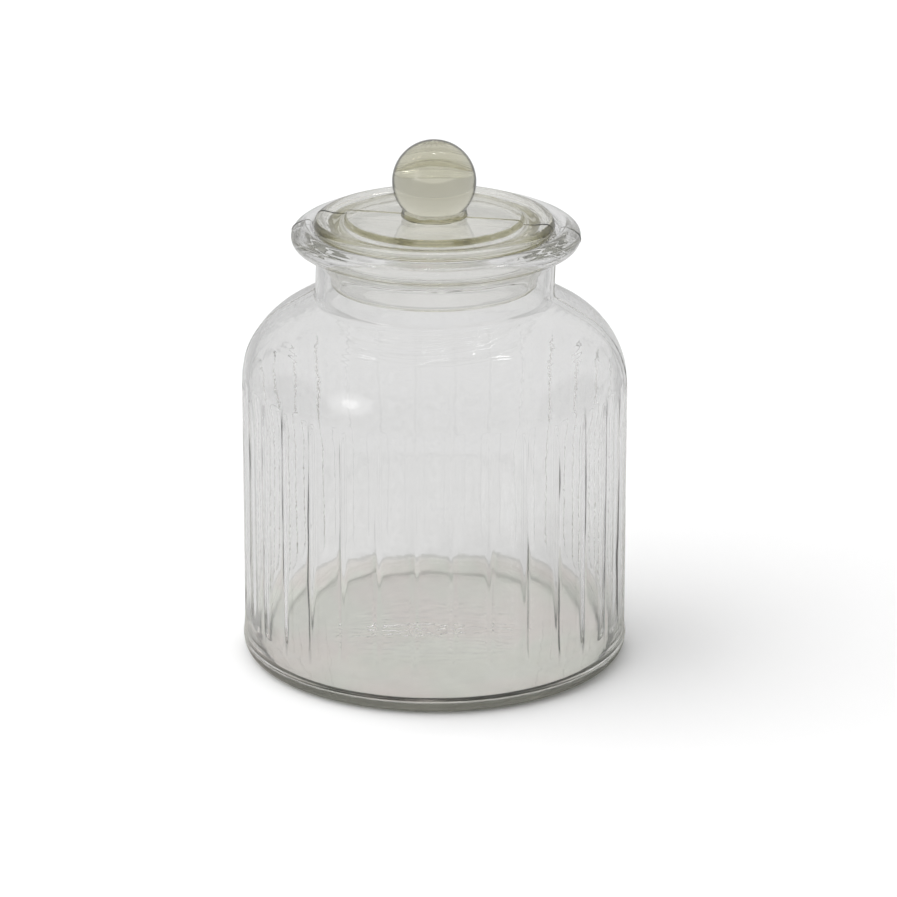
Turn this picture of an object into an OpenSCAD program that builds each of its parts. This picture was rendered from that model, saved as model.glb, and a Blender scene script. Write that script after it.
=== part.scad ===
// Lidded storage jar in clear pressed glass: a fluted body with a rolled rim,
// and a loose lid whose hollow plug drops into the neck. All sizes in millimetres.
// The jar stands on Z = 0 and its axis is the Z axis.

/* [Body] */
// Outside diameter of the body, at the plain bands and between the flutes
body_d = 180; // [170:1:190]
// Height at which the straight side ends and the shoulder begins
side_h = 132; // [125:1:145]
// Thickness of the body's glass away from the flutes
wall = 3.8; // [3.5:0.1:4.5]
// Thickness of the floor at its edge
floor_t = 4.6; // [4.5:0.1:6]
// Rise of the floor's upper side from its edge to its middle
floor_rise = 2.4; // [1.5:0.1:3]
// Radius of the rounded heel between the side and the base
heel_r = 6.5; // [5:0.5:7]
// Radius inside, between the floor and the wall
inner_heel_r = 4.2; // [3:0.1:6]
// Diameter of the shallow recess under the base
kick_d = 156; // [130:2:156]
// Depth of the recess under the base, at its middle
kick_depth = 2; // [1:0.1:2.5]

/* [Flutes] */
// Number of shallow flutes round the body
flute_count = 32; // [28:1:36]
// Depth of each flute at its middle
flute_depth = 0.8; // [0.7:0.1:1.2]
// Width of the narrow land left between two flutes
land_w = 0.5; // [0.4:0.1:1]
// Height of the lower tip of each flute
flute_low = 19; // [15:1:25]
// Height of the upper tip of each flute
flute_high = 137; // [130:1:140]
// Length over which a flute runs out to its tip
tip_rise = 11; // [8:1:16]

/* [Shoulder and neck] */
// Radius of the shoulder's arc
shoulder_r = 39.5; // [36:0.5:42]
// Fall of the shoulder below the neck, in degrees from level
shoulder_slope = 31; // [25:1:35]
// Outside diameter of the neck
neck_d = 111; // [108:1:113]
// Bore of the neck
bore_d = 102; // [101:0.5:104]
// Height of the ledge that the lid rests on
ledge_h = 205; // [202:1:208]

/* [Rim] */
// Outside diameter of the rolled rim
rim_d = 134; // [132:1:136]
// Diameter of the glass roll at the rim's outer edge
roll_d = 8.2; // [7.5:0.1:8.5]
// Height of that roll's centre below the ledge
roll_drop = 2.4; // [2:0.1:3]
// Inside diameter of the raised lip round the lid
lip_d = 115; // [114.5:0.5:116]
// Diameter of the lip's rounded top
lip_roll_d = 4; // [3:0.5:4.5]
// Height of the lip above the ledge
lip_rise = 3.8; // [3.5:0.1:4.5]
// Height below the ledge at which the neck flares out into the rim
flare_drop = 11; // [9:0.5:12]

/* [Lid] */
// Diameter of the lid's plate
plate_d = 112; // [111:0.5:112.5]
// Thickness of the plate's rounded edge
plate_edge = 6.4; // [6:0.1:7]
// Diameter of the raised middle of the plate, at its foot
boss_d = 84; // [80:1:85]
// Height of the raised middle above the trough round it
boss_h = 1.9; // [1.5:0.1:2.5]
// Width of the ramp round the raised middle
boss_ramp = 2.5; // [2:0.5:4]
// Depth of the trough below the plate's outer edge
trough_depth = 0.8; // [0.5:0.1:1]
// Width of the trough's level bottom
trough_w = 5; // [3:0.5:8]
// Thickness of the plate over the plug's hollow
plate_t = 5.8; // [5:0.1:6.5]
// Outside diameter of the plug under the plate
plug_d = 97; // [94:0.5:98]
// Depth of the plug below the plate
plug_depth = 24; // [18:1:26]
// Thickness of the plug's wall
plug_wall = 4.2; // [3.5:0.1:5]
// Taper of the plug's radius over its depth
plug_draft = 0.5; // [0.2:0.1:0.8]

/* [Knob] */
// Diameter of the ball
ball_d = 39; // [36:0.5:42]
// Height of the ball's centre above the plate's raised middle
ball_h = 16.3; // [15.5:0.1:17]
// Diameter of the waist under the ball
waist_d = 31; // [30:0.2:31.4]
// Diameter of the foot that joins the lid
foot_d = 32.2; // [32:0.2:33]
// Height of the foot's rounded edge
foot_h = 1.8; // [1.4:0.1:2.4]

/* [Hidden] */
$fn = 128;
far = 400;                                    // longer than anything in the model

// Body
body_r = body_d / 2;
neck_r = neck_d / 2;
bore_r = bore_d / 2;
kick_r = kick_d / 2;
arc_x = body_r - shoulder_r;                  // centre of the shoulder's arc
arc_a = 90 - shoulder_slope;                  // where the arc meets the straight slope
function on_arc(r) = [arc_x + r * cos(arc_a), side_h + r * sin(arc_a)];
function slope_h(r, x) = on_arc(r)[1] + (on_arc(r)[0] - x) * tan(shoulder_slope);

// Rim: an outer roll and an inner lip, joined by straight flanks that touch both,
// and a straight flare that leaves the neck and touches the roll
roll_r = roll_d / 2;
roll_at = [rim_d / 2 - roll_r, ledge_h - roll_drop];
lip_r = lip_roll_d / 2;
lip_at = [lip_d / 2 + lip_r, ledge_h + lip_rise - lip_r];
flank = roll_at - lip_at;
flank_a = atan2(flank[1], flank[0]) + acos((lip_r - roll_r) / norm(flank));
flank_out = [cos(flank_a), sin(flank_a)];     // square to the upper flank
flare_h = ledge_h - flare_drop;
flare_run = roll_at - [neck_r, flare_h];
flare_len = sqrt(norm(flare_run) ^ 2 - roll_r ^ 2);
flare_a = atan2(flare_run[1], flare_run[0]) - asin(roll_r / norm(flare_run));
flare_end = [neck_r + flare_len * cos(flare_a), flare_h + flare_len * sin(flare_a)];

// Flute cutter: a strip of a large upright cylinder, just wider than the flute
edge_a = 180 / flute_count - land_w / body_d * 180 / PI;
edge_at = [body_r * cos(edge_a), body_r * sin(edge_a)];
flute_x = body_r - flute_depth;
cutter_x = (body_r ^ 2 - flute_x ^ 2) / 2 / (edge_at[0] - flute_x);
cutter_r = cutter_x - flute_x;
past_edge = 0.1;                              // how far the strip reaches past the flute's edge
cutter_a = asin((edge_at[1] + past_edge) / cutter_r);
cutter_t = 4;
run_out = 4;                                  // how far the strip carries on past each tip
run_in = flute_depth * (1 + run_out / tip_rise);

// Lid
edge_r = plate_edge / 2;
edge_x = plate_d / 2 - edge_r;
rim_h = ledge_h + plate_edge;                 // top of the plate's edge
under_h = rim_h - plate_t;                    // top of the plug's hollow
trough_h = rim_h - trough_depth;
boss_top = trough_h + boss_h;
boss_r = boss_d / 2;
plug_r = plug_d / 2;
plug_end_r = plug_wall / 2;
plug_end_x = plug_r - plug_draft - plug_end_r;
plug_end_h = ledge_h - plug_depth + plug_end_r;

// Knob
ball_r = ball_d / 2;
foot_r = foot_h / 2;

// Section of a round block with a rounded lower corner
module heeled_block(r, low, high, corner) {
    translate([0, low])
        square([r - corner, high - low]);
    translate([0, low + corner])
        square([r, high - low - corner]);
    translate([r - corner, low + corner])
        circle(corner);
}

// Section of the shoulder, for an arc of radius r, drawn in to radius x at the neck
module shoulder_section(r, x) {
    intersection() {
        translate([arc_x, side_h])
            circle(r);
        translate([arc_x, side_h])
            square([far, far]);
    }
    polygon([[0, side_h], [arc_x, side_h], on_arc(r), [x, slope_h(r, x)], [0, slope_h(r, x)]]);
}

// Section of everything inside the jar's outer surface
module jar_outside() {
    heeled_block(body_r, 0, side_h, heel_r);
    shoulder_section(shoulder_r, neck_r);
    translate([0, side_h])
        square([neck_r, ledge_h - side_h]);
    polygon([
        [bore_r, flare_h], [neck_r, flare_h], flare_end, roll_at,
        roll_at + roll_r * flank_out, lip_at + lip_r * flank_out, lip_at,
        lip_at - [lip_r, 0], [lip_at[0] - lip_r, ledge_h], [bore_r, ledge_h]
    ]);
    translate(roll_at)
        circle(roll_r);
    translate(lip_at)
        circle(lip_r);
}

// Section of the hollow inside the jar, open through the neck, above a slightly raised floor
module jar_inside() {
    floor_r = body_r - wall - inner_heel_r;
    difference() {
        heeled_block(body_r - wall, floor_t, side_h, inner_heel_r);
        polygon([[0, 0], [floor_r, 0], [floor_r, floor_t], [0, floor_t + floor_rise]]);
    }
    shoulder_section(shoulder_r - wall, bore_r);
    translate([0, side_h])
        square([bore_r, far]);
}

// One flute, as the shape it takes away: a thin curved strip with tapering ends
module flute_cutter() {
    translate([cutter_x, 0, 0])
        rotate(180 - cutter_a)
            rotate_extrude(angle = 2 * cutter_a)
                polygon([
                    [cutter_r - cutter_t, flute_low - run_out],
                    [cutter_r - run_in, flute_low - run_out],
                    [cutter_r, flute_low + tip_rise],
                    [cutter_r, flute_high - tip_rise],
                    [cutter_r - run_in, flute_high + run_out],
                    [cutter_r - cutter_t, flute_high + run_out]
                ]);
}

// The jar: body, shoulder, neck and rim, pressed in one piece
module jar() {
    color([0.85, 0.88, 0.84, 0.4])
        difference() {
            rotate_extrude()
                difference() {
                    jar_outside();
                    jar_inside();
                    polygon([[0, 0], [kick_r, 0], [0, kick_depth]]);
                }
            for (i = [0 : flute_count - 1])
                rotate(i * 360 / flute_count)
                    flute_cutter();
        }
}

// The lid: a plate with a rounded edge, a raised middle, and a hollow plug below
module lid() {
    color([0.84, 0.86, 0.80, 0.45])
        rotate_extrude()
            union() {
                polygon([
                    [0, under_h], [plug_r - plug_wall, under_h], [plug_r, ledge_h],
                    [edge_x, ledge_h], [edge_x, rim_h],
                    [boss_r + trough_w, trough_h], [boss_r, trough_h],
                    [boss_r - boss_ramp, boss_top], [0, boss_top]
                ]);
                translate([edge_x, ledge_h + edge_r])
                    circle(edge_r);
                polygon([
                    [plug_r - plug_wall, rim_h - edge_r],
                    [plug_end_x - plug_end_r, plug_end_h],
                    [plug_end_x + plug_end_r, plug_end_h],
                    [plug_r, rim_h - edge_r]
                ]);
                translate([plug_end_x, plug_end_h])
                    circle(plug_end_r);
            }
}

// The knob: a solid ball on a short waist, with a slightly wider foot
module knob() {
    color([0.78, 0.78, 0.66, 0.6])
        rotate_extrude()
            intersection() {
                translate([0, boss_top])
                    square([far, far]);
                union() {
                    translate([0, boss_top + ball_h])
                        circle(ball_r);
                    translate([0, boss_top])
                        square([waist_d / 2, ball_h / 2]);
                    translate([0, boss_top])
                        square([foot_d / 2 - foot_r, foot_h]);
                    translate([foot_d / 2 - foot_r, boss_top + foot_r])
                        circle(foot_r);
                }
            }
}

jar();
lid();
knob();
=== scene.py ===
import math

import bpy
import numpy as np
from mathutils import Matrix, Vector, noise


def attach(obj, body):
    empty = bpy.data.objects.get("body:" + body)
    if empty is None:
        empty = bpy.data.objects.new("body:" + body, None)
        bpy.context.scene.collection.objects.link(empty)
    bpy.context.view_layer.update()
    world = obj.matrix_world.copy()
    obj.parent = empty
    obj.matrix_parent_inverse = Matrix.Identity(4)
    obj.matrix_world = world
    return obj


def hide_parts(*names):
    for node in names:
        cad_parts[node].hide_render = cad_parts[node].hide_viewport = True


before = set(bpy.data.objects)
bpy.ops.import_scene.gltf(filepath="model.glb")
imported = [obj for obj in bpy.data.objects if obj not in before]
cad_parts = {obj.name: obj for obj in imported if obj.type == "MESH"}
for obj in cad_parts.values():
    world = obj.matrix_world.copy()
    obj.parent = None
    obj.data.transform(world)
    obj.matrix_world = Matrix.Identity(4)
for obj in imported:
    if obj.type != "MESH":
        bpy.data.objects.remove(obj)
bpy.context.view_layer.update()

MM = 0.001
FRONT = -90.0                  # azimuth that faces the front, in degrees from +X
FLUTES = 32
HALF_FLUTE = 180.0 / FLUTES


# ---------------------------------------------------------------- outlines (r, z)
def line(p, q, step):
    """Points from p to q, without q, about step apart."""
    p, q = np.array(p, float), np.array(q, float)
    n = max(1, int(round(np.linalg.norm(q - p) / step)))
    return [tuple(p + (q - p) * i / n) for i in range(n)]


def arc(cx, cz, rx, rz, a0, a1, n):
    """Points on an ellipse from angle a0 to a1, without the last."""
    out = []
    for i in range(n):
        a = math.radians(a0 + (a1 - a0) * i / n)
        out.append((cx + rx * math.cos(a), cz + rz * math.sin(a)))
    return out


def bend(p0, p1, p2, p3, n):
    """Points on a cubic curve from p0 to p3, without p3."""
    points = (p0, p1, p2, p3)
    out = []
    for i in range(n):
        t = i / n
        w = ((1 - t) ** 3, 3 * t * (1 - t) ** 2, 3 * t * t * (1 - t), t ** 3)
        out.append(tuple(sum(w[k] * p[j] for k, p in enumerate(points)) for j in (0, 1)))
    return out


def smooth(x):
    """0 up to 0, 1 from 1, and an even rise between."""
    x = np.clip(x, 0.0, 1.0)
    return x * x * (3 - 2 * x)


def band(offset, width):
    """1 where offset is 0, falling away to nothing over about twice the width."""
    return np.exp(-(offset / width) ** 2)


BODY_R, SIDE_H = 90.0, 132.0
ARC_R, WALL = 39.5, 3.8
ARC_X = BODY_R - ARC_R          # centre of the shoulder's arc
EDGE_T, CORNER_R = 4.6, 4.2     # the floor's thickness at its edge, and its inner corner
SLOPE = 31.0                    # fall of the shoulder below the neck, in degrees
NECK_R, BORE_R = 55.5, 51.0
LEDGE_H = 204.9                 # the ledge that the lid rests on
RIM_R, RIM_TOP = 67.1, 208.75
BALL_R, BALL_H = 19.5, 228.9    # the knob's ball, and the height of its centre
WAIST_R = 15.3                  # where the ball's outline meets the waist


def arc_end(radius):
    """Where the shoulder's arc of that radius runs into the straight slope."""
    a = math.radians(90 - SLOPE)
    return ARC_X + radius * math.cos(a), SIDE_H + radius * math.sin(a)


def on_slope(radius, x):
    """The point of that straight slope at distance x from the axis."""
    start_x, start_z = arc_end(radius)
    return x, start_z + (start_x - x) * math.tan(math.radians(SLOPE))


def jar_outline():
    """The jar's section from under the base, up the outside, over the rim and down the inside,
    and for each point whether it is on the outside."""
    out = [(0.0, 2.0)]
    out += bend((4, 2.0), (30, 2.0), (60, 0.3), (78, 0.0), 64)
    out += line((78, 0), (83.8, 0), 2)
    out += arc(83.8, 6.5, 6.7, 6.5, -90, 0, 16)
    out += bend((90.5, 6.5), (90.5, 10.5), (90, 13), (90, 17), 26)
    out += line((90, 17), (90, 33), 0.6)
    out += line((90, 33), (90, 124), 3.0)
    out += line((90, 124), (90, SIDE_H), 0.7)
    out += arc(ARC_X, SIDE_H, ARC_R, ARC_R, 0, 12, 12)
    out += arc(ARC_X, SIDE_H, ARC_R, ARC_R, 12, 40, 14)
    out += arc(ARC_X, SIDE_H, ARC_R, ARC_R, 40, 90 - SLOPE, 34)
    near_neck = on_slope(ARC_R, NECK_R + 1.5)
    corner_z = on_slope(ARC_R, NECK_R)[1]
    out += line(arc_end(ARC_R), near_neck, 0.35)
    out += bend(near_neck, on_slope(ARC_R, NECK_R + 0.4),
                (NECK_R, corner_z + 0.5), (NECK_R, corner_z + 2.2), 7)
    out += line((NECK_R, corner_z + 2.2), (NECK_R, 191.5), 1.5)
    out += bend((NECK_R, 191.5), (NECK_R, 195.5), (57.2, 198.2), (61.4, 198.5), 24)
    out += bend((61.4, 198.5), (64.8, 198.7), (RIM_R, 200.4), (RIM_R, 203.0), 22)
    out += bend((RIM_R, 203.0), (RIM_R, 205.2), (65.3, 206.6), (63.4, 207.45), 20)
    out += bend((63.4, 207.45), (61.6, 208.25), (60.8, RIM_TOP), (59.7, RIM_TOP), 14)
    out += bend((59.7, RIM_TOP), (58.2, RIM_TOP), (57.5, 207.9), (57.45, 206.8), 10)
    out += bend((57.45, 206.8), (57.4, 205.5), (57.1, LEDGE_H), (56.2, LEDGE_H), 8)
    out += line((56.2, LEDGE_H), (52.6, LEDGE_H), 1.2)
    n_outside = len(out)
    inner_r = ARC_R - WALL
    below_neck = on_slope(inner_r, BORE_R + 3.5)
    corner_z = on_slope(inner_r, BORE_R)[1]
    out += bend((52.6, LEDGE_H), (51.6, LEDGE_H), (BORE_R, LEDGE_H - 0.6), (BORE_R, LEDGE_H - 1.8), 6)
    out += line((BORE_R, LEDGE_H - 1.8), (BORE_R, corner_z + 4), 1.6)
    out += bend((BORE_R, corner_z + 4), (BORE_R, corner_z + 1.2),
                on_slope(inner_r, BORE_R + 1.0), below_neck, 8)
    out += line(below_neck, arc_end(inner_r), 1.5)
    out += arc(ARC_X, SIDE_H, inner_r, inner_r, 90 - SLOPE, 0, 26)
    corner_x, corner_h = BODY_R - WALL - CORNER_R, EDGE_T + CORNER_R
    out += line((BODY_R - WALL, SIDE_H), (BODY_R - WALL, corner_h), 3.0)
    out += arc(corner_x, corner_h, CORNER_R, CORNER_R, 0, -90, 12)
    out += bend((corner_x, EDGE_T), (64, EDGE_T + 0.5), (34, 7.0), (4, 7.0), 32)
    out += [(0.0, 7.0)]
    return np.array(out), np.arange(len(out)) < n_outside


def lid_outline():
    """The lid's section from the middle of the plug's hollow, round the plug and the plate,
    to the middle of its top."""
    out = [(0.0, 205.8)]
    out += line((4, 205.8), (40.3, 205.8), 4)
    out += bend((40.3, 205.8), (42.4, 205.8), (44.2, 204.2), (44.1, 201.8), 8)
    out += line((44.1, 201.8), (43.8, 183.4), 2)
    out += arc(45.9, 183.4, 2.1, 2.1, 180, 360, 14)
    out += line((48.0, 183.4), (48.5, 202.6), 2)
    out += bend((48.5, 202.6), (48.6, 204.0), (49.2, 205.05), (50.6, 205.1), 6)
    out += line((50.6, 205.1), (53.0, 205.1), 0.8)
    out += arc(52.8, 208.3, 3.2, 3.2, -88, 80, 20)
    out += bend((53.36, 211.45), (51.4, 211.8), (49.4, 210.85), (46.5, 210.75), 24)
    out += bend((46.5, 210.75), (44.0, 210.66), (42.0, 210.7), (41.5, 211.3), 10)
    out += bend((41.5, 211.3), (41.0, 212.0), (40.9, 212.55), (39.9, 212.65), 8)
    out += line((39.9, 212.65), (16, 212.65), 2)
    out += line((16, 212.65), (3, 212.65), 1)
    out += [(0.0, 212.65)]
    return np.array(out)


def knob_outline():
    """The knob's section from under its foot, which is sunk a hair into the lid's glass,
    to the top of the ball."""
    low_a = -math.degrees(math.acos(WAIST_R / BALL_R))
    low = (WAIST_R, BALL_H + BALL_R * math.sin(math.radians(low_a)))
    out = [(0.0, 212.25)]
    out += line((2, 212.25), (14.4, 212.25), 2)
    out += bend((14.4, 212.25), (15.2, 212.3), (15.3, 212.6), (15.1, 213.0), 8)
    out += bend((15.1, 213.0), (14.8, 213.8), (14.8, 216.15), low, 14)
    out += arc(0.0, BALL_H, BALL_R, BALL_R, low_a, 90, 64)
    out += [(0.0, BALL_H + BALL_R)]
    return np.array(out)


# ---------------------------------------------------------------- meshes
# Columns beside a mould seam, and how far out they replace the others, in degrees
SEAM_STEPS = (-1.2, -0.75, -0.45, -0.28, -0.14, 0.0, 0.14, 0.28, 0.45, 0.75, 1.2)
SEAM_CLEAR = 1.35


def columns(base, seam):
    """All azimuths round the axis, in degrees, sorted, with closer ones beside both ends of the seam."""
    values = list(base)
    for end in (seam % 360, seam + 180):
        values = [v for v in values if abs((v - end + 180) % 360 - 180) > SEAM_CLEAR]
        values += [end + step for step in SEAM_STEPS]
    return np.array(sorted(v % 360 for v in values))


def ripple(grid, size, seed, octaves=2):
    """Smooth noise from -1 to 1 over a grid of points, with features about size metres across."""
    shift = Vector((seed * 7.31, seed * 3.77, seed * 5.19))
    points = grid.reshape(-1, 3)
    out = np.empty(len(points))
    for i, p in enumerate(points):
        out[i] = noise.fractal(Vector(p) / size + shift, 1.0, 2.0, octaves)
    return out.reshape(grid.shape[:-1])


def revolve(name, outline, azimuths, shape):
    """A closed mesh turned from outline, as a new object. shape takes the grids of r, z and azimuth
    and gives back x, y and z; the outline's two ends are on the axis and close the mesh."""
    ring = outline[1:-1]
    r = np.repeat(ring[:, :1], len(azimuths), axis=1)
    z = np.repeat(ring[:, 1:], len(azimuths), axis=1)
    a = np.radians(np.repeat(azimuths[None, :], len(ring), axis=0))
    x, y, z = shape(r, z, a)
    rows, cols = x.shape
    grid = np.stack([x, y, z], axis=-1).reshape(-1, 3)
    low = np.array([[x[0].mean(), y[0].mean(), z[0].mean()]])
    high = np.array([[x[-1].mean(), y[-1].mean(), z[-1].mean()]])
    verts = np.concatenate([grid, low, high]) * MM
    i = np.arange(rows - 1)[:, None] * cols
    j = np.arange(cols)[None, :]
    k = (j + 1) % cols
    quads = np.stack([i + j, i + k, i + cols + k, i + cols + j], axis=-1).reshape(-1, 4)
    faces = quads.tolist()
    first, last = rows * cols, rows * cols + 1
    top = (rows - 1) * cols
    for c in range(cols):
        d = (c + 1) % cols
        faces.append((d, c, first))
        faces.append((top + c, top + d, last))
    mesh = bpy.data.meshes.new(name)
    mesh.from_pydata(verts.tolist(), [], faces)
    mesh.validate()
    mesh.polygons.foreach_set("use_smooth", [True] * len(mesh.polygons))
    mesh.update()
    obj = bpy.data.objects.new(name, mesh)
    bpy.context.scene.collection.objects.link(obj)
    return obj


def seam_height(x, y, angle, half_width, height):
    """Height of a raised mould line through the axis, where both its ends count."""
    off = np.abs(x * math.sin(math.radians(angle)) - y * math.cos(math.radians(angle)))
    return height * band(off, half_width)


FLUTE_D = 0.93                  # depth of a flute at its middle
FLUTE_SOFT = 0.02               # how softly a flute's outline runs into the body
RIB_W, RIB_H = 2.3, 0.50        # the rounded rib's half width, and its height above the flat flute
FLUTE_LOW, FLUTE_HIGH = 19.0, 137.5      # heights of the flutes' tips
FLUTE_RUN = 12.0                # length over which a flute runs out to its tip
RIM_LEAN = 0.8                  # how far the neck leans to +X
JAR_SEAM = -5.625               # azimuths of the mould seams; each runs right across
LID_SEAM = -11.75

FLUTED_LOW, FLUTED_HIGH = 10, 150        # the rows that the flutes can reach
SLOPE_LOW, SLOPE_HIGH = 152, 181         # where the shoulder is rippled
RIM_LOW = 193                   # where the neck begins to flare
BASE_R = 50                     # the middle of the base, which has streaks and a patch of relief


def flute_depth(z, a):
    """How far the flat flutes with their rounded ribs cut in from the body's outside at height z
    and azimuth a."""
    step = math.radians(2 * HALF_FLUTE)
    local = (a - math.radians(FRONT) + step / 2) % step - step / 2
    w = BODY_R * np.abs(np.sin(local))
    half = BODY_R * math.sin(step / 2)
    section = w * w / (2 * BODY_R) + RIB_H * smooth((w - half + RIB_W) / RIB_W)
    up = np.clip((FLUTE_LOW + FLUTE_RUN - z) / FLUTE_RUN, 0, 5)
    down = np.clip((z - FLUTE_HIGH + FLUTE_RUN) / FLUTE_RUN, 0, 5)
    cut = FLUTE_D * (1 - up * up - down * down) - section
    # The larger of cut and 0, softened, less what the softening leaves well outside a flute
    soft = FLUTE_SOFT * FLUTE_SOFT
    return 0.5 * (cut + np.sqrt(cut * cut + soft)) - 0.5 * (np.sqrt(25 + soft) - 5)


def jar_shape(outside):
    """The shape function of the jar, with the points of its outline that are outside."""
    outer = outside[1:-1][:, None]

    def shape(r, z, a):
        fluted = outer & (z > FLUTED_LOW) & (z < FLUTED_HIGH)
        r = r - np.where(fluted, flute_depth(z, a), 0.0)
        x, y = r * np.cos(a), r * np.sin(a)
        grid = np.stack([x, y, z], axis=-1) * MM
        big = ripple(grid, 0.045, 1)
        small = ripple(grid, 0.014, 2)
        # The glass is wavier inside than outside.
        waves = np.where(outer, 0.05 * big + 0.012 * small, 0.16 * big + 0.035 * small)
        # Patchy ripples run round the slope of the shoulder.
        slope = smooth((z - SLOPE_LOW) / 8) * smooth((SLOPE_HIGH - z) / 5) * outer
        patchy = np.clip(0.35 + 1.3 * ripple(grid, 0.022, 9), 0.0, 1.2)
        waves = waves + slope * 0.060 * patchy * np.sin(z * 3.1 + 5.0 * big)
        # Fine rings, small waves and two shallow grooves run round the rim.
        rim = outer & (z > RIM_LOW)
        rings = np.sin(2.9 * r - 2.3 * z + 4.0 * big) * (0.6 + 0.6 * small)
        waves = waves + np.where(rim, 0.035 * rings + 0.09 * small, 0.0)
        grooves = band(z - 206.6 - 0.3 * big, 0.35) + band(z - 199.3 - 0.2 * big, 0.28)
        waves = waves - np.where(rim & (r > 60), 0.14 * grooves, 0.0)
        # All this fades out over the floor and the base, near the axis and where the jar stands.
        fade = smooth((r - 12) / 20) * np.where(z < 0.4, 0.0, 1.0)
        wall = np.clip(smooth((r - 83) / 5) + smooth((z - 20) / 10), 0, 1)
        r2 = r + waves * fade * wall * np.where(outer, 1, -1)
        # The mould seam is a raised line, much lower over the top of the rim.
        seam = seam_height(x, y, JAR_SEAM, 0.42, 0.30)
        seam = seam * np.where(outer & (z > 8) & (r > BASE_R), 1.0, 0.0)
        r2 = r2 + seam * np.where(z > 208.2, 0.2, 1.0)
        # A low ring runs round the heel.
        r2 = r2 + np.where(outer, 0.20 * band(z - 7.6, 0.7), 0.0)
        z2 = z + np.where((z > 207) & (r > 57), 0.25 * big, 0.0)
        z2 = z2 + np.where((~outer) & (z < 10), 0.22 * big + 0.05 * small, 0.0)
        z2 = z2 + seam * np.where(z > 160, 0.6, 0.0)
        # Streaks run across the middle of the base.
        base = outer & (z < 2.2) & (r < BASE_R)
        streak = ripple(grid * np.array([1.0, 5.0, 0.0]), 0.020, 6)
        z2 = z2 + np.where(base, 0.10 * streak * smooth((BASE_R - r) / 15), 0.0)
        # A patch of low relief stands in for the pressed mark in the middle of the base.
        strokes = np.tanh(4.0 * ripple(grid * np.array([1.0, 2.4, 0.0]), 0.0075, 7, 1))
        patch = smooth((22 - np.abs(x + 9)) / 2) * smooth((9 - np.abs(y - 1)) / 2)
        z2 = z2 + np.where(base, 0.16 * patch * (1 + strokes), 0.0)
        return r2 * np.cos(a) + RIM_LEAN * smooth((z - 170) / 30), r2 * np.sin(a), z2

    return shape


def lid_shape(r, z, a):
    """The shape function of the lid: wavy glass, fine rings in the trough and the mould seam."""
    x, y = r * np.cos(a), r * np.sin(a)
    grid = np.stack([x, y, z], axis=-1) * MM
    big = ripple(grid, 0.035, 3)
    small = ripple(grid, 0.011, 4)
    fine = ripple(grid, 0.005, 8)
    top = z > 209.0
    hollow = (z > 204) & (z < 207) & (r < 46)
    trough = top & (r > 41.5) & (r < 53)
    z2 = z + np.where(top, 0.10 * big + 0.02 * small, 0.0)
    z2 = z2 + np.where(hollow, 0.14 * big + 0.03 * small, 0.0)
    z2 = z2 + np.where(trough, 0.035 * np.sin(4.1 * r + 4 * big) * (0.5 + small), 0.0)
    # The foot of the raised middle is slightly uneven.
    z2 = z2 + np.where(top, 0.10 * fine * band(r - 41.0, 1.1), 0.0)
    seam = seam_height(x, y, LID_SEAM, 0.40, 0.28)
    z2 = z2 + seam * np.where(top & (r > 12), 1.0, 0.0)
    r2 = r + np.where(z < 204.5, 0.10 * big, 0.0) + np.where(r > 54.5, 0.12 * big, 0.0)
    return r2 * np.cos(a), r2 * np.sin(a), z2


def knob_shape(r, z, a):
    """The shape function of the knob: a ball not quite round, and an uneven, flowed foot."""
    x, y = r * np.cos(a), r * np.sin(a)
    big = ripple(np.stack([x, y, z], axis=-1) * MM, 0.028, 5)
    foot = smooth((217.5 - z) / 4.0) * smooth((z - 212.3) / 0.5)
    lobes = 0.40 * np.sin(5 * a + 0.6) + 0.28 * np.sin(8 * a + 2.1) + 0.20 * np.sin(13 * a + 4.4)
    r2 = r * (1 + 0.006 * big) + foot * (0.15 + 0.40 * lobes)
    rise = foot * smooth((r - 13) / 3) * 0.35 * np.sin(7 * a + 1.2)
    return r2 * np.cos(a), r2 * np.sin(a), z + rise


def flute_columns():
    """Azimuths of the jar's columns, 20 to each flute and closest together beside the ribs."""
    t = np.arange(-10, 10) / 10.0
    u = 0.75 * np.sin(t * math.pi / 2) + 0.25 * t
    return [FRONT + 2 * HALF_FLUTE * k + HALF_FLUTE * v for k in range(FLUTES) for v in u]


outline, outside = jar_outline()
jar = revolve("jar_glass", outline, columns(flute_columns(), JAR_SEAM), jar_shape(outside))
lid = revolve("lid_glass", lid_outline(), columns(np.arange(0, 360, 1.5), LID_SEAM), lid_shape)
knob = revolve("knob_glass", knob_outline(), np.arange(0, 360, 3.0), knob_shape)

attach(jar, "jar")
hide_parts("jar")
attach(lid, "lid")
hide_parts("lid")
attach(knob, "lid")
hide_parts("knob")


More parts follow.
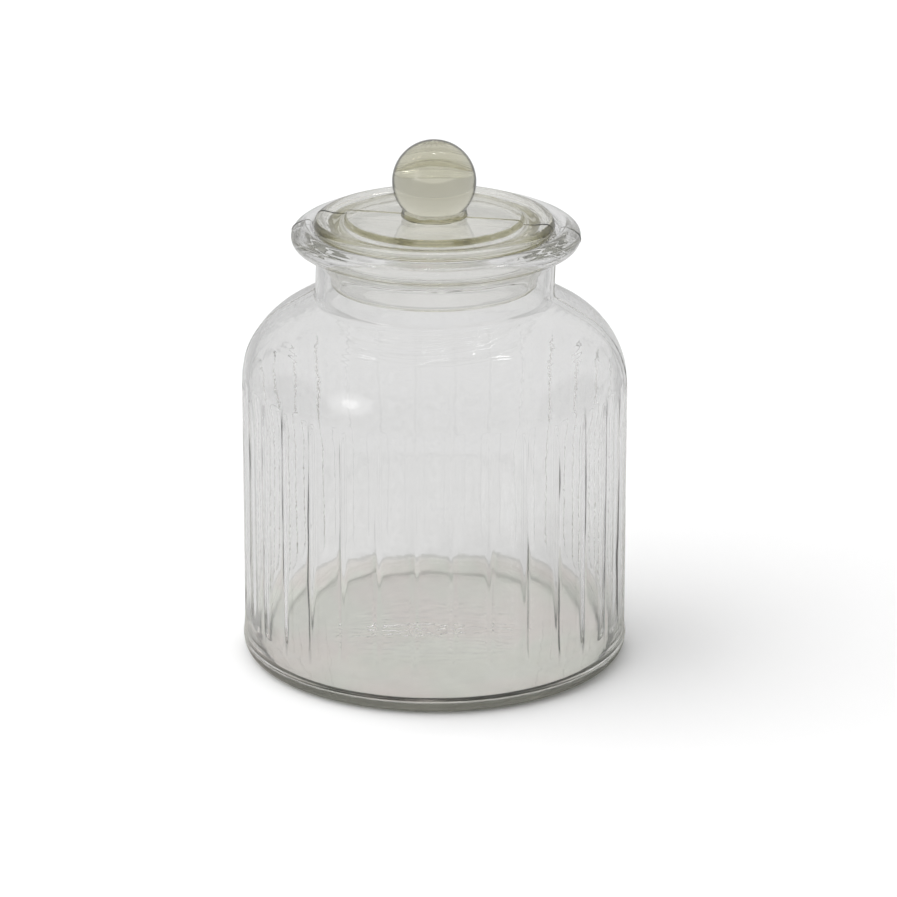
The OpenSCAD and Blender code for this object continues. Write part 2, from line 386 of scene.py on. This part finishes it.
# ---------------------------------------------------------------- materials
class Nodes:
    """A short way to add nodes to one tree; plain numbers set sockets and outputs link to them."""

    def __init__(self, tree):
        self.tree = tree

    def add(self, kind):
        return self.tree.nodes.new("ShaderNode" + kind)

    def put(self, socket, value):
        if isinstance(value, bpy.types.NodeSocket):
            self.tree.links.new(value, socket)
        else:
            socket.default_value = value

    def maths(self, kind, *values):
        node = self.add("Math")
        node.operation = kind
        for socket, value in zip(node.inputs, values):
            self.put(socket, value)
        return node.outputs[0]

    def product(self, first, *others):
        for other in others:
            first = self.maths("MULTIPLY", first, other)
        return first

    def vector(self, kind, *values):
        node = self.add("VectorMath")
        node.operation = kind
        for socket, value in zip(node.inputs, values):
            self.put(socket, value)
        return node.outputs["Value" if kind in ("LENGTH", "DOT_PRODUCT") else "Vector"]

    def scale(self, colour, amount):
        node = self.add("VectorMath")
        node.operation = "SCALE"
        self.put(node.inputs[0], colour)
        self.put(node.inputs["Scale"], amount)
        return node.outputs["Vector"]

    def ramp(self, value, x0, x1, y0, y1, kind="LINEAR"):
        """y0 up to x0, y1 from x1, and a straight or smooth change between."""
        node = self.add("MapRange")
        node.interpolation_type = kind
        self.put(node.inputs["Value"], value)
        for key, v in (("From Min", x0), ("From Max", x1), ("To Min", y0), ("To Max", y1)):
            node.inputs[key].default_value = v
        return node.outputs["Result"]

    def colours(self, value, stops):
        """A colour ramp, with each stop's place and its colour."""
        node = self.add("ValToRGB")
        self.put(node.inputs["Fac"], value)
        elements = node.color_ramp.elements
        for place, colour in stops:
            elements.new(place).color = (*colour, 1)
        elements.remove(elements[0])
        elements.remove(elements[-1])
        return node.outputs["Color"]

    def mix(self, factor, a, b, kind="MIX"):
        node = self.add("Mix")
        node.data_type = "RGBA"
        node.blend_type = kind
        self.put(node.inputs["Factor"], factor)
        self.put(node.inputs["A"], a)
        self.put(node.inputs["B"], b)
        return node.outputs["Result"]

    def noise(self, where, scale, detail=2.0, roughness=0.5):
        node = self.add("TexNoise")
        self.put(node.inputs["Vector"], where)
        node.inputs["Scale"].default_value = scale
        node.inputs["Detail"].default_value = detail
        node.inputs["Roughness"].default_value = roughness
        return node.outputs["Fac"]


# Colour of the painted shade round the front of the jar's heel
HEEL_PAINTED_SHADE = (0.08, 0.08, 0.065, 1)
# Colour of the painted shade in broken lines along the ribs
RIB_PAINTED_SHADE = (0.02, 0.02, 0.02, 1)


def body_painted_shade(kit, where, facing):
    """Painted shade on the jar's glass: dark round the front of the heel, standing in for the dark
    contact line where the jar stands, and in broken dark lines along the ribs where these are seen
    aslant, deepening the dark lines that the ribs give by refraction."""
    split = kit.add("SeparateXYZ")
    kit.put(split.inputs[0], where)
    x, y, z = (split.outputs[axis] for axis in "XYZ")
    radius = kit.vector("LENGTH", kit.vector("MULTIPLY", where, (1, 1, 0)))
    # Painted shade round the front of the heel, low down at its outer edge, where the jar stands
    heel = kit.product(
        kit.ramp(z, 0.0058, 0.0070, 1.0, 0.0),
        kit.ramp(radius, 0.0830, 0.0845, 0.0, 1.0),
        kit.ramp(y, 0.0, 0.045, 1.0, 0.0))
    # rib is 0 on a rib, which is moved a little to either side along its length
    turn = kit.maths("ARCTAN2", y, x)
    sway = kit.noise(kit.vector("MULTIPLY", where, (60, 60, 16)), 1.0)
    turns = kit.maths("MULTIPLY_ADD", turn, FLUTES / math.tau, kit.ramp(sway, 0.3, 0.7, 0.40, 0.60))
    rib = kit.maths("PINGPONG", turns, 0.5)
    broken = kit.noise(kit.vector("MULTIPLY", where, (45, 45, 22)), 1.0)
    # Painted shade in broken dark lines along the ribs, where they are seen aslant
    lines = kit.product(
        kit.ramp(rib, 0.025, 0.06, 1.0, 0.0),
        kit.ramp(facing, 0.23, 0.37, 0.0, 1.0),
        kit.ramp(radius, 0.0875, 0.0880, 0.0, 1.0),
        kit.ramp(z, 0.016, 0.024, 0.0, 1.0),
        kit.ramp(z, 0.130, 0.140, 1.0, 0.0),
        kit.ramp(broken, 0.38, 0.54, 0.30, 0.97))
    return kit.mix(lines, kit.mix(heel, (1, 1, 1, 1), HEEL_PAINTED_SHADE), RIB_PAINTED_SHADE)


def glass(name, tint, density, bump, grain, edge, painted_shade=None):
    """Clear glass with a faint surface texture, and painted shade where it is seen edge-on, which stands
    in for the dark edges that dim surroundings give glass. tint and density set the colour of its depth.
    edge gives how far aslant the painted shade begins and is complete, and the brightness left there."""
    mat = bpy.data.materials.new(name)
    mat.use_nodes = True
    kit = Nodes(mat.node_tree)
    shader = kit.tree.nodes["Principled BSDF"]
    shader.inputs["Roughness"].default_value = 0.0
    shader.inputs["IOR"].default_value = 1.5
    shader.inputs["Transmission Weight"].default_value = 1.0
    where = kit.add("TexCoord").outputs["Object"]
    texture = kit.add("Bump")
    texture.inputs["Strength"].default_value = bump
    texture.inputs["Distance"].default_value = 0.0004
    kit.put(texture.inputs["Height"], kit.noise(where, grain, 3.0, 0.45))
    kit.put(shader.inputs["Normal"], texture.outputs["Normal"])
    layer = kit.add("LayerWeight")
    layer.inputs["Blend"].default_value = 0.5
    facing = layer.outputs["Facing"]
    begins, complete, left = edge
    colour = painted_shade(kit, where, facing) if painted_shade else (1, 1, 1)
    # Painted shade: the colour is darkened where the glass is seen edge-on
    kit.put(shader.inputs["Base Color"],
            kit.scale(colour, kit.ramp(facing, begins, complete, 1.0, left)))
    volume = kit.add("VolumeAbsorption")
    volume.inputs["Color"].default_value = (*tint, 1)
    volume.inputs["Density"].default_value = density
    kit.put(kit.tree.nodes["Material Output"].inputs["Volume"], volume.outputs["Volume"])
    return mat


jar.data.materials.append(glass(
    "jar clear glass", (0.55, 0.54, 0.42), 1.3, 0.10, 160.0, (0.86, 0.96, 0.25), body_painted_shade))
lid.data.materials.append(glass(
    "lid clear glass", (0.61, 0.585, 0.34), 17.5, 0.10, 140.0, (0.80, 0.92, 0.10)))
knob.data.materials.append(glass(
    "knob tinted glass", (0.57, 0.53, 0.20), 15.5, 0.06, 120.0, (0.62, 0.76, 0.02)))


# ---------------------------------------------------------------- floor, light, camera
# The floor's colour round the jar's axis, by distance in metres, as seen through glass: painted light
# under the jar, where its shadow falls, and painted shadow in a ring under the heel and in a narrow ring
# just outside it
FLOOR_LIGHT_AND_SHADE_RINGS = (
    (0.0825, (0.745, 0.738, 0.708)), (0.0845, (0.58, 0.58, 0.56)),
    (0.0905, (0.50, 0.50, 0.48)), (0.0935, (0.54, 0.535, 0.52)),
    (0.1150, (0.56, 0.555, 0.54)), (0.1168, (0.44, 0.44, 0.43)),
    (0.1185, (0.46, 0.46, 0.45)), (0.1205, (0.61, 0.61, 0.608)))
# Two faint tints that lie in patches on the floor near the jar
FLOOR_TINTS = ((0.42, (1.0, 0.95, 0.93)), (0.58, (0.96, 0.985, 0.93)))
FLOOR_WHITE = (0.90, 0.90, 0.90, 1)
FLOOR_HALF = 12
FLOOR_H = -0.0002               # a hair below the jar, so that their surfaces don't coincide


def floor_material():
    """A pale seamless studio floor. It is white where the camera sees it directly, and greyer where it
    is seen through or reflected in glass, which is painted shade: in rings round the jar, which are
    painted shadow with painted light under the jar, mottled all over, and dimmer far off and at the
    sides."""
    mat = bpy.data.materials.new("pale floor")
    mat.use_nodes = True
    kit = Nodes(mat.node_tree)
    shader = kit.tree.nodes["Principled BSDF"]
    shader.inputs["Roughness"].default_value = 0.9
    shader.inputs["Specular IOR Level"].default_value = 0.0
    where = kit.add("TexCoord").outputs["Object"]
    reach = kit.vector("LENGTH", where)
    near = kit.ramp(reach, 0.105, 0.120, 1.0, 0.0)
    tints = kit.colours(kit.noise(where, 14.0), FLOOR_TINTS)
    # Near the jar: the rings of painted light and shadow, with faint tints over them
    toned = kit.mix(near, kit.colours(reach, FLOOR_LIGHT_AND_SHADE_RINGS), tints, "MULTIPLY")
    far = kit.vector("LENGTH", kit.vector("MULTIPLY", where, (2.2, 1, 1)))
    aside = kit.vector("DOT_PRODUCT", kit.vector("ABSOLUTE", where), (1, -1.3, 0))
    # Painted shade far off and at the sides, and a faint random mottle
    dimmer = kit.product(
        kit.ramp(far, 0.80, 0.90, 1.0, 0.78),
        kit.ramp(aside, 0.5, 0.75, 1.0, 0.5),
        kit.ramp(kit.noise(where, 70.0, 4.0), 0.3, 0.7, 0.94, 1.03))
    # Camera rays see the plain white floor; all other rays see the painted light and shade
    seen = kit.add("LightPath").outputs["Is Camera Ray"]
    kit.put(shader.inputs["Base Color"], kit.mix(seen, kit.scale(toned, dimmer), FLOOR_WHITE))
    return mat


mesh = bpy.data.meshes.new("floor")
corners = [(FLOOR_HALF * i, FLOOR_HALF * j, FLOOR_H) for i, j in ((-1, -1), (1, -1), (1, 1), (-1, 1))]
mesh.from_pydata(corners, [], [(0, 1, 2, 3)])
floor = bpy.data.objects.new("floor", mesh)
bpy.context.scene.collection.objects.link(floor)
floor.data.materials.append(floor_material())


def studio():
    """Even white studio light, dimmer at the sides and in front, with three long lamps overhead
    and a round one front left."""
    world = bpy.data.worlds.new("studio")
    bpy.context.scene.world = world
    world.use_nodes = True
    kit = Nodes(world.node_tree)
    back = kit.tree.nodes["Background"]
    where = kit.add("TexCoord").outputs["Generated"]

    def along(direction):
        """How far the looked-at direction points along another one, -1 to 1."""
        return kit.vector("DOT_PRODUCT", where, Vector(direction).normalized())

    def either_way(direction):
        return kit.maths("ABSOLUTE", along(direction))

    def soft(value, x0, x1, y0, y1):
        return kit.ramp(value, x0, x1, y0, y1, "SMOOTHSTEP")

    def round_lamp(direction, radius, edge, strength):
        """A round soft lamp; radius and edge in degrees."""
        begins, full = math.cos(math.radians(radius + edge)), math.cos(math.radians(radius))
        return soft(along(direction), begins, full, 0, strength)

    def long_lamp(centre, across, half_w, half_h, edge, strength):
        """A soft box, half_w long along across and half_h wide, as sines of angles."""
        c, u = Vector(centre).normalized(), Vector(across).normalized()
        v = c.cross(u)
        wide = soft(either_way(u), half_w, half_w + edge, 1, 0)
        high = soft(either_way(v), half_h, half_h + edge, 1, 0)
        return kit.product(wide, high, soft(along(c), 0.0, 0.1, 0, strength))

    sky = soft(along((0, 0, 1)), 0.0, 0.6, 0.61, 0.76)
    front = soft(along((0, -1, 0.1)), 0.3, 0.95, 1.0, 0.75)
    sides = soft(either_way((1, 0, 0)), 0.86, 0.94, 1.0, 0.35)
    total = kit.product(sky, front, sides)
    round_at = (-0.75, -0.55, 0.37)
    for lamp in (
            long_lamp((-0.05, 0.165, 0.985), (1, 0, 0), 0.07, 0.02, 0.01, 12.0),
            long_lamp((-0.31, 0.28, 0.91), (0.93, 0, 0.32), 0.06, 0.008, 0.012, 4.0),
            long_lamp((0.28, 0.26, 0.92), (0.95, 0, -0.29), 0.11, 0.018, 0.01, 6.0),
            round_lamp(round_at, 0.2, 7, 1.6),       # the round lamp's core
            round_lamp(round_at, 0.2, 17, 1.1)):     # and its glow
        total = kit.maths("ADD", total, lamp)
    kit.put(back.inputs["Strength"], total)
    back.inputs["Color"].default_value = (1, 1, 1, 1)


def key_light():
    """A large soft lamp high at the left, which gives the jar its shadow."""
    data = bpy.data.lights.new("key", "SUN")
    data.energy = 1.85
    data.angle = math.radians(75)
    lamp = bpy.data.objects.new("key", data)
    bpy.context.scene.collection.objects.link(lamp)
    lamp.rotation_mode = "QUATERNION"
    lamp.rotation_quaternion = Vector((-0.70, -0.06, 0.75)).to_track_quat("Z", "Y")
    lamp.visible_glossy = False
    lamp.visible_transmission = False


studio()
key_light()

AIM = Vector((6.6, 0.0, 98.0)) * MM
DISTANCE, ELEVATION = 2.4, 19.8          # metres from there, and degrees above level
camera_data = bpy.data.cameras.new("camera")
camera_data.lens = 205.0
camera_data.sensor_width = 36.0
camera_data.clip_start, camera_data.clip_end = 0.05, 60.0
camera = bpy.data.objects.new("camera", camera_data)
bpy.context.scene.collection.objects.link(camera)
tilt = math.radians(ELEVATION)
towards = Vector((0.0, -math.cos(tilt), math.sin(tilt)))
camera.location = AIM + towards * DISTANCE
camera.rotation_mode = "QUATERNION"
camera.rotation_quaternion = (-towards).to_track_quat("-Z", "Y")
bpy.context.scene.camera = camera

scene = bpy.context.scene
scene.view_settings.view_transform = "Standard"
scene.view_settings.look = "None"
scene.view_settings.exposure = 0.0
scene.cycles.max_bounces = 64
scene.cycles.transmission_bounces = 64
scene.cycles.glossy_bounces = 48
scene.cycles.diffuse_bounces = 3
scene.cycles.transparent_max_bounces = 16
scene.cycles.sample_clamp_indirect = 6.0
scene.cycles.blur_glossy = 0.0
